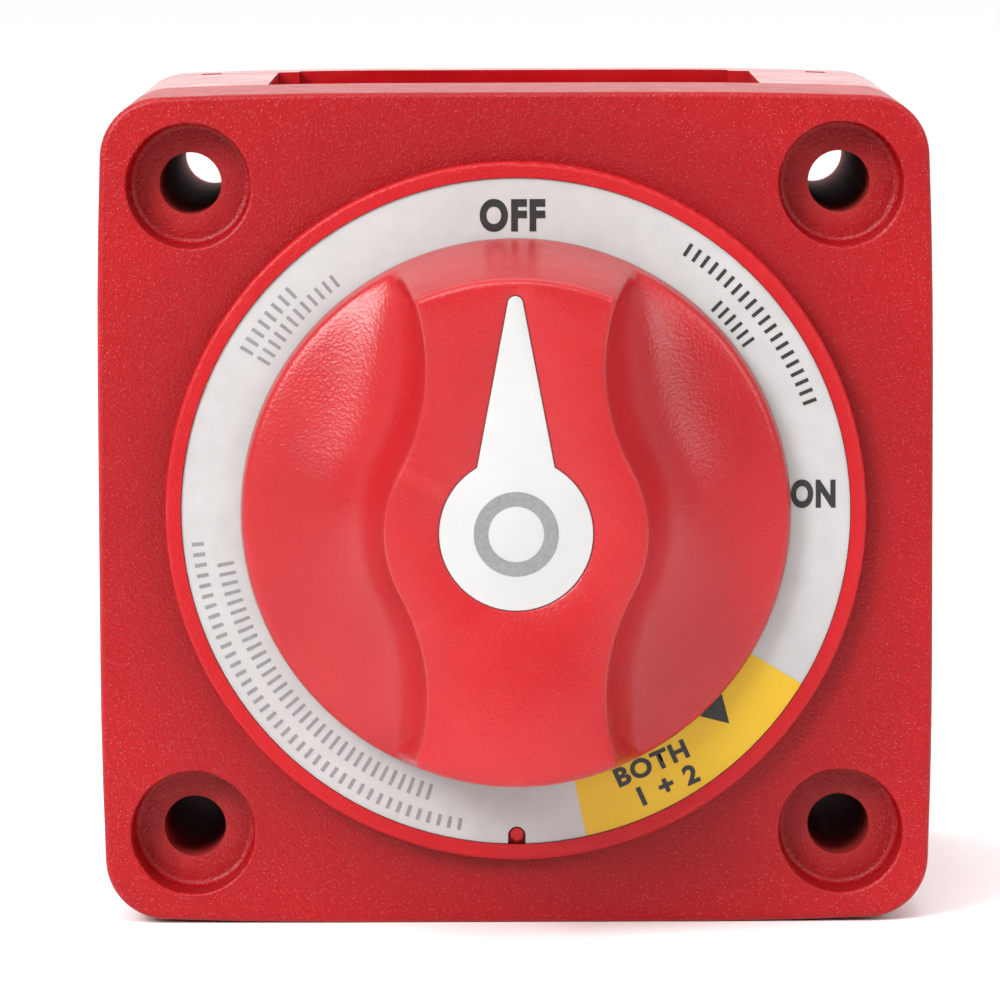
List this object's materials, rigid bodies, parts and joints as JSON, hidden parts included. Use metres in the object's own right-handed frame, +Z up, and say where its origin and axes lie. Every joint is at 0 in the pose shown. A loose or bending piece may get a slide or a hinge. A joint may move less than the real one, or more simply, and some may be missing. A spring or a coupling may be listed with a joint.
{
  "type": "battery switch",
  "caption": "Square surface-mount marine battery switch with a round turning knob, pointer, label ring and enclosed cable studs.",
  "frame": {"origin": "centre of the flat rear face, on the knob's axis", "axes": "-Y out of the front along the knob's axis, +Z up, +X to the right seen from the front"},
  "size_m": [0.071, 0.0754, 0.071],
  "materials": {
    "housing_plastic": "fine moulded texture, satin",
    "base_plastic": "smooth, glossy",
    "knob_plastic": "satin with a faint pebble",
    "label_plastic": "satin",
    "rotor_plastic": "glass filled, matte",
    "copper": "bright, lightly brushed",
    "plated_stud": "tin plated",
    "brass": "machined",
    "stainless_steel": "satin",
    "spring_steel": "drawn wire",
    "seal_rubber": "matte"
  },
  "bodies": {
    "housing": {"front_housing": "housing_plastic", "label_ring": "label_plastic", "terminal_base": "base_plastic", "flat_washers": "stainless_steel", "lock_washers": "stainless_steel", "stud_nuts": "stainless_steel", "base_screws": "stainless_steel", "combiner_link": "copper", "terminal_1": "copper", "terminal_stud_1": "plated_stud", "terminal_2": "copper", "terminal_stud_2": "plated_stud", "terminal_3": "copper", "terminal_stud_3": "plated_stud", "terminal_4": "copper", "terminal_stud_4": "plated_stud"},
    "knob_and_rotor": {"knob": "knob_plastic", "pointer_insert": "label_plastic", "knob_screw": "stainless_steel", "knob_washer": "stainless_steel", "rotor": "rotor_plastic", "threaded_insert": "brass", "inner_contact_arc": "copper", "outer_contact_arc": "copper", "contact_springs": "spring_steel", "detent_balls": "stainless_steel", "detent_springs": "spring_steel", "shaft_seal": "seal_rubber"},
    "back_cover": {"rear_cover": "base_plastic"}
  },
  "joints": [
    {"name": "knob_turn", "type": "hinge", "parent": "housing", "child": "knob_and_rotor", "pos_m": [0, -0.06, 0], "axis": [0, 1, 0], "range_deg": [0, 135]},
    {"name": "rear_cover_slide", "type": "slide", "parent": "housing", "child": "back_cover", "axis": [0, 1, 0], "range_m": [0, 0.04]}
  ]
}
